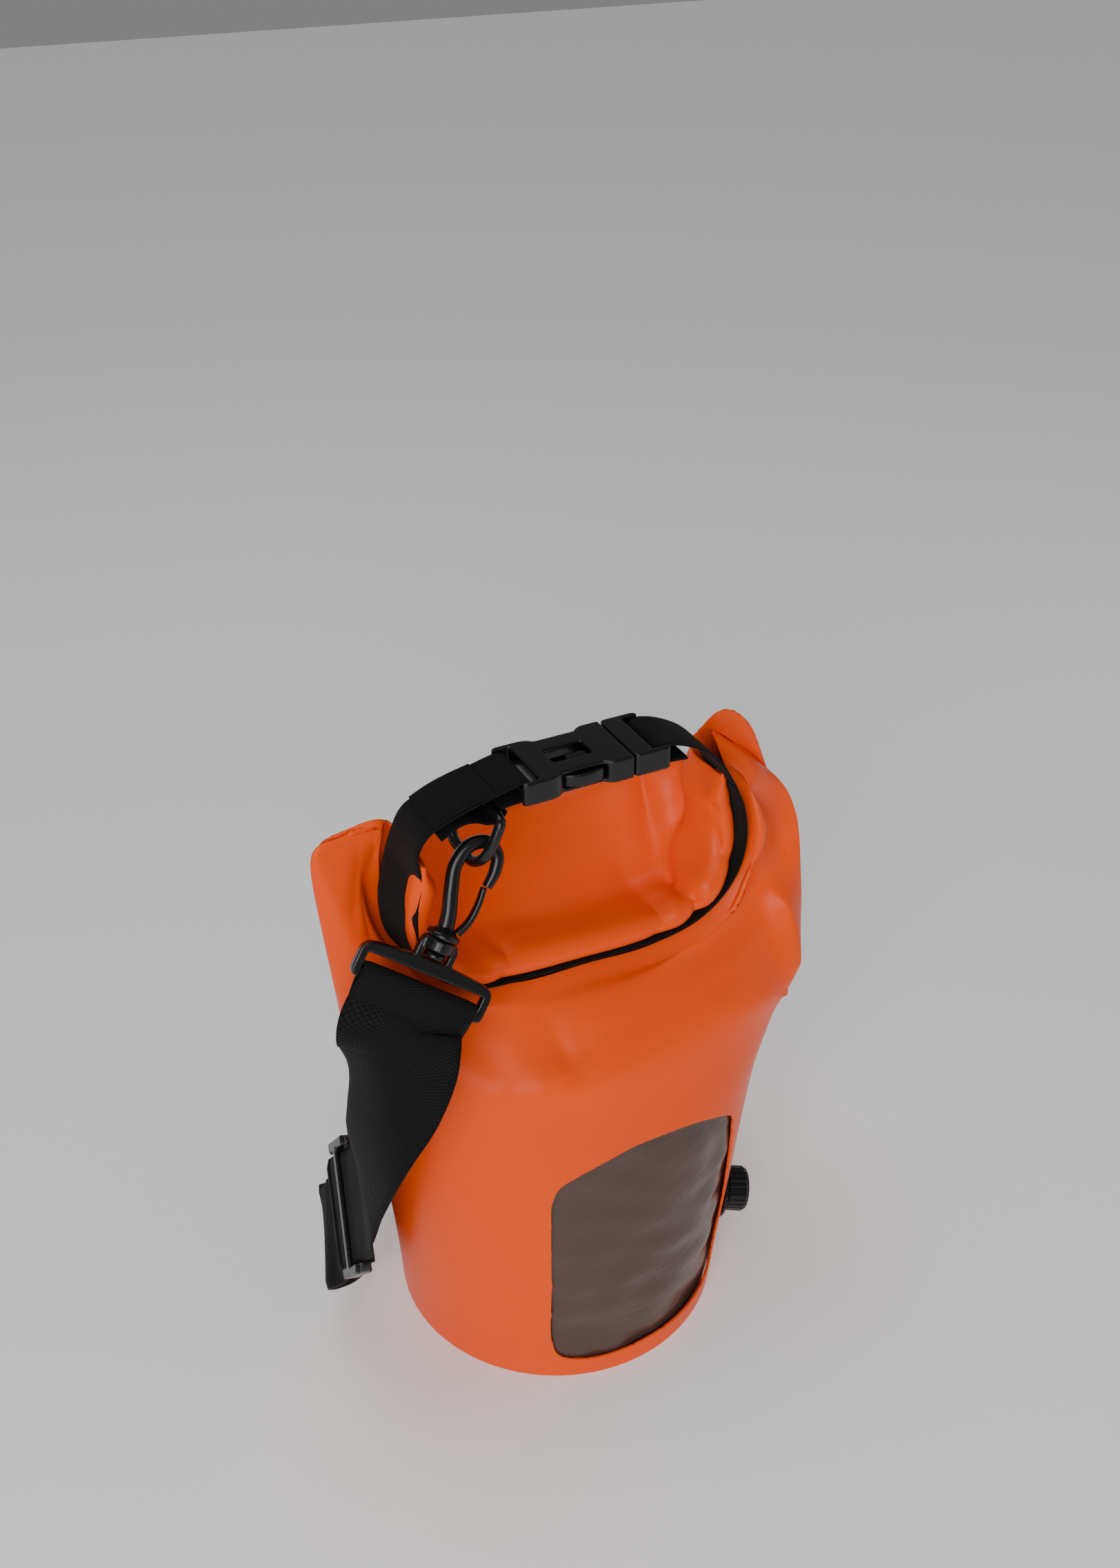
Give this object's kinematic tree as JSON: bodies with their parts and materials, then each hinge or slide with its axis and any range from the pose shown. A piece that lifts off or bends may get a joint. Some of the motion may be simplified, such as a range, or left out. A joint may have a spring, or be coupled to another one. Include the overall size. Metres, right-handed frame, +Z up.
{
  "type": "roll-top dry bag",
  "caption": "Orange roll-top dry bag with a smoky window, an air valve, a buckled carry loop and a black shoulder strap.",
  "frame": {"origin": "centre of the base's underside", "axes": "+Z up, the window side faces -Y, the rolled mouth and its buckle run along X"},
  "size_m": [0.2314, 0.176, 0.2914],
  "materials": {
    "bag_orange": "satin coated fabric",
    "panel_orange": "satin coated fabric, welded panels",
    "webbing_black": "woven webbing",
    "plastic_black": "moulded, satin",
    "window_smoke": "clear smoky sheet"
  },
  "bodies": {
    "bag": {"base_panel": "panel_orange", "body_shell": "bag_orange", "window_sheet": "window_smoke", "back_seam_tape": "panel_orange", "rolled_closure": "bag_orange", "closure_webbing": "webbing_black", "closure_tail": "webbing_black", "ring_tab": "webbing_black", "buckle_socket": "plastic_black", "shoulder_strap": "webbing_black", "strap_doubled": "webbing_black", "lower_tab": "webbing_black", "lower_patch": "panel_orange", "valve_body": "plastic_black", "valve_nut": "plastic_black"},
    "plug": {"buckle_plug": "plastic_black"},
    "prong_front": {"buckle_prong_front": "plastic_black"},
    "prong_back": {"buckle_prong_back": "plastic_black"},
    "ring_upper": {"upper_ring": "plastic_black"},
    "hook_upper": {"upper_hook": "plastic_black"},
    "gate_upper": {"upper_gate": "plastic_black"},
    "frame_upper": {"upper_frame": "plastic_black", "strap_end_upper": "webbing_black"},
    "slider": {"strap_slider": "plastic_black"},
    "ring_lower": {"lower_ring": "plastic_black"},
    "hook_lower": {"lower_hook": "plastic_black"},
    "gate_lower": {"lower_gate": "plastic_black"},
    "frame_lower": {"lower_frame": "plastic_black", "strap_end_lower": "webbing_black"},
    "knob": {"valve_knob": "plastic_black"}
  },
  "joints": [
    {"name": "buckle_release", "type": "slide", "parent": "bag", "child": "plug", "axis": [1, 0, 0], "range_m": [0, 0.03], "deforming": ["closure_tail", "buckle_prong_front", "buckle_prong_back"]},
    {"name": "prong_front_squeeze", "type": "hinge", "parent": "plug", "child": "prong_front", "pos_m": [0.0202, -0.0222, 0.2864], "axis": [0, 0, 1], "range_deg": [-6, 0], "stiffness_Nm_per_rad": 0.5},
    {"name": "prong_back_squeeze", "type": "hinge", "parent": "plug", "child": "prong_back", "pos_m": [0.0202, -0.0048, 0.2864], "axis": [0, 0, 1], "range_deg": [0, 6], "stiffness_Nm_per_rad": 0.5},
    {"name": "upper_ring_swing", "type": "hinge", "parent": "bag", "child": "ring_upper", "pos_m": [-0.0386, -0.015, 0.2802], "axis": [0, 1, 0], "range_deg": [-8, 2], "deforming": ["shoulder_strap"]},
    {"name": "upper_hook_rock", "type": "hinge", "parent": "ring_upper", "child": "hook_upper", "pos_m": [-0.04701, -0.0276, 0.26205], "axis": [-0.1424, -0.9167, 0.3734], "range_deg": [-4, 10], "deforming": ["shoulder_strap"]},
    {"name": "upper_gate_swing", "type": "hinge", "parent": "hook_upper", "child": "gate_upper", "pos_m": [-0.05928, -0.03527, 0.23855], "axis": [-0.1424, -0.9167, 0.3734], "range_deg": [0, 20], "stiffness_Nm_per_rad": 0.05},
    {"name": "upper_swivel", "type": "hinge", "parent": "hook_upper", "child": "frame_upper", "pos_m": [-0.0795, -0.04001, 0.21919], "axis": [0.5886, 0.2249, 0.7765], "range_deg": [-8, 25], "deforming": ["shoulder_strap"]},
    {"name": "slider_slide", "type": "slide", "parent": "bag", "child": "slider", "axis": [-0.05, 0.642, -0.765], "range_m": [-0.006, 0.003], "deforming": ["shoulder_strap", "strap_doubled"]},
    {"name": "lower_ring_swing", "type": "hinge", "parent": "bag", "child": "ring_lower", "pos_m": [0.01817, 0.07903, 0.04], "axis": [0, 0, 1], "range_deg": [-12, 0], "deforming": ["strap_doubled"]},
    {"name": "lower_hook_rock", "type": "hinge", "parent": "ring_lower", "child": "hook_lower", "pos_m": [-0.00067, 0.09133, 0.04], "axis": [0, 0, 1], "range_deg": [-10, 1], "deforming": ["strap_doubled"]},
    {"name": "lower_gate_swing", "type": "hinge", "parent": "hook_lower", "child": "gate_lower", "pos_m": [-0.02725, 0.08386, 0.04], "axis": [0, 0, -1], "range_deg": [0, 20], "stiffness_Nm_per_rad": 0.05},
    {"name": "lower_swivel", "type": "hinge", "parent": "hook_lower", "child": "frame_lower", "pos_m": [-0.05049, 0.06756, 0.04], "axis": [0.9026, 0.4305, 0], "range_deg": [-8, 8], "deforming": ["strap_doubled"]},
    {"name": "valve_turn", "type": "hinge", "parent": "bag", "child": "knob", "pos_m": [0.0749, -0.02513, 0.0301], "axis": [0.9187, -0.355, -0.1731], "range_deg": [0, 120]}
  ],
  "couplings": [
    {"joint": "prong_back_squeeze", "follows": "prong_front_squeeze", "ratio": -1}
  ]
}
